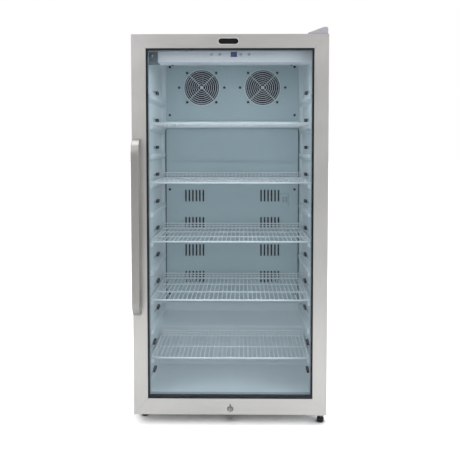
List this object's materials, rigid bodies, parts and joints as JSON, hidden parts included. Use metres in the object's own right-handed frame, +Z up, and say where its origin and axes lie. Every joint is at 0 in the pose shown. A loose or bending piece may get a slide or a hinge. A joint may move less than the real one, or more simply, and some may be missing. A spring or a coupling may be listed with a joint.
{
  "type": "glass door beverage refrigerator",
  "caption": "Upright glass-door beverage refrigerator with brushed metal door frame, bow handle, key lock, wire shelves, fan duct and machine room.",
  "frame": {"origin": "centre of the footprint box at floor level, under the feet", "axes": "+Z up, the door faces -Y, the hinge side is +X"},
  "size_m": [0.648, 0.605, 1.333],
  "materials": {
    "cabinet_paint": "satin white powder coat",
    "zinc_steel": "zinc plated sheet",
    "stainless": "brushed, grain along each rail",
    "white_plastic": "moulded, slightly glossy",
    "dark_plastic": "moulded grey",
    "black_plastic": "moulded black",
    "gasket": "soft grey seal",
    "foam": "rigid foam",
    "glass": "clear tempered",
    "display": "dark blue display face",
    "white_wire": "white coated wire",
    "copper": "bare copper tube",
    "aluminium": "mill finish fins"
  },
  "bodies": {
    "cabinet": {"cabinet_shell": "cabinet_paint", "rear_panel": "cabinet_paint", "base_pan": "zinc_steel", "inner_liner": "white_plastic", "foam_insulation": "foam", "machine_room_panel": "zinc_steel", "rear_cover": "zinc_steel", "compressor": "black_plastic", "compressor_mount": "zinc_steel", "drain_tray": "black_plastic", "condenser_coil": "aluminium", "condenser_fan_mount": "black_plastic", "suction_line": "copper", "power_inlet": "black_plastic", "air_duct_panel": "white_plastic", "evaporator_coil": "aluminium", "fan_guard_left": "white_wire", "fan_frame_left": "black_plastic", "fan_guard_right": "white_wire", "fan_frame_right": "black_plastic", "control_panel": "white_plastic", "display_module": "display", "door_switch_housing": "dark_plastic", "led_light": "white_plastic", "top_hinge_bracket": "zinc_steel", "bottom_hinge_bracket": "zinc_steel", "hinge_cover": "white_plastic", "lock_strike": "zinc_steel"},
    "door": {"door_rail_left": "stainless", "door_rail_right": "stainless", "door_rail_top": "stainless", "door_rail_bottom": "stainless", "door_core": "black_plastic", "outer_glass": "glass", "glass_spacer": "black_plastic", "inner_glass": "glass", "door_gasket": "gasket", "hinge_bush_bottom": "dark_plastic", "hinge_bush_top": "dark_plastic", "handle": "stainless", "badge_plate": "black_plastic", "lock_body": "stainless"},
    "lock": {"lock_plug": "stainless"},
    "fan_left": {"fan_blades_left": "black_plastic"},
    "fan_right": {"fan_blades_right": "black_plastic"},
    "condenser_fan": {"condenser_fan_blades": "black_plastic"},
    "door_switch": {"door_switch_plunger": "white_plastic"},
    "button_1": {"control_button_1": "white_plastic"},
    "button_2": {"control_button_2": "white_plastic"},
    "button_3": {"control_button_3": "white_plastic"},
    "button_4": {"control_button_4": "white_plastic"},
    "wire_shelf_1": {"shelf_1": "white_wire"},
    "wire_shelf_2": {"shelf_2": "white_wire"},
    "wire_shelf_3": {"shelf_3": "white_wire"},
    "wire_shelf_4": {"shelf_4": "white_wire"},
    "wire_shelf_5": {"shelf_5": "white_wire"},
    "levelling_foot_front_right": {"foot_front_right": "black_plastic"},
    "levelling_foot_front_left": {"foot_front_left": "black_plastic"},
    "levelling_foot_rear_right": {"foot_rear_right": "black_plastic"},
    "levelling_foot_rear_left": {"foot_rear_left": "black_plastic"}
  },
  "joints": [
    {"name": "door_hinge", "type": "hinge", "parent": "cabinet", "child": "door", "pos_m": [0.3086, -0.2355, 0.674], "axis": [0, 0, 1], "range_deg": [0, 110]},
    {"name": "lock_turn", "type": "hinge", "parent": "door", "child": "lock", "pos_m": [0.0004, -0.2365, 0.0594], "axis": [0, 1, 0], "range_deg": [0, 90]},
    {"name": "fan_left_spin", "type": "hinge", "parent": "cabinet", "child": "fan_left", "pos_m": [-0.1212, 0.2155, 1.176], "axis": [0, 1, 0], "continuous": true},
    {"name": "fan_right_spin", "type": "hinge", "parent": "cabinet", "child": "fan_right", "pos_m": [0.1212, 0.2155, 1.176], "axis": [0, 1, 0], "continuous": true},
    {"name": "condenser_fan_spin", "type": "hinge", "parent": "cabinet", "child": "condenser_fan", "pos_m": [0.105, 0.2235, 0.115], "axis": [1, 0, 0], "continuous": true},
    {"name": "door_switch_press", "type": "slide", "parent": "cabinet", "child": "door_switch", "axis": [0, 1, 0], "range_m": [0, 0.003], "stiffness_N_per_m": 120},
    {"name": "button_1_press", "type": "slide", "parent": "cabinet", "child": "button_1", "axis": [0, 1, 0], "range_m": [0, 0.001], "stiffness_N_per_m": 400},
    {"name": "button_2_press", "type": "slide", "parent": "cabinet", "child": "button_2", "axis": [0, 1, 0], "range_m": [0, 0.001], "stiffness_N_per_m": 400},
    {"name": "button_3_press", "type": "slide", "parent": "cabinet", "child": "button_3", "axis": [0, 1, 0], "range_m": [0, 0.001], "stiffness_N_per_m": 400},
    {"name": "button_4_press", "type": "slide", "parent": "cabinet", "child": "button_4", "axis": [0, 1, 0], "range_m": [0, 0.001], "stiffness_N_per_m": 400},
    {"name": "shelf_1_slide", "type": "slide", "parent": "cabinet", "child": "wire_shelf_1", "axis": [0, -1, 0], "range_m": [0, 0.02]},
    {"name": "shelf_2_slide", "type": "slide", "parent": "cabinet", "child": "wire_shelf_2", "axis": [0, -1, 0], "range_m": [0, 0.02]},
    {"name": "shelf_3_slide", "type": "slide", "parent": "cabinet", "child": "wire_shelf_3", "axis": [0, -1, 0], "range_m": [0, 0.02]},
    {"name": "shelf_4_slide", "type": "slide", "parent": "cabinet", "child": "wire_shelf_4", "axis": [0, -1, 0], "range_m": [0, 0.02]},
    {"name": "shelf_5_slide", "type": "slide", "parent": "cabinet", "child": "wire_shelf_5", "axis": [0, -1, 0], "range_m": [0, 0.02]},
    {"name": "foot_front_right_turn", "type": "hinge", "parent": "cabinet", "child": "levelling_foot_front_right", "pos_m": [0.3086, -0.2125, 0.01], "axis": [0, 0, 1], "continuous": true},
    {"name": "foot_front_left_turn", "type": "hinge", "parent": "cabinet", "child": "levelling_foot_front_left", "pos_m": [-0.3, -0.1645, 0.01], "axis": [0, 0, 1], "continuous": true},
    {"name": "foot_rear_right_turn", "type": "hinge", "parent": "cabinet", "child": "levelling_foot_rear_right", "pos_m": [0.3, 0.2715, 0.01], "axis": [0, 0, 1], "continuous": true},
    {"name": "foot_rear_left_turn", "type": "hinge", "parent": "cabinet", "child": "levelling_foot_rear_left", "pos_m": [-0.3, 0.2715, 0.01], "axis": [0, 0, 1], "continuous": true}
  ]
}
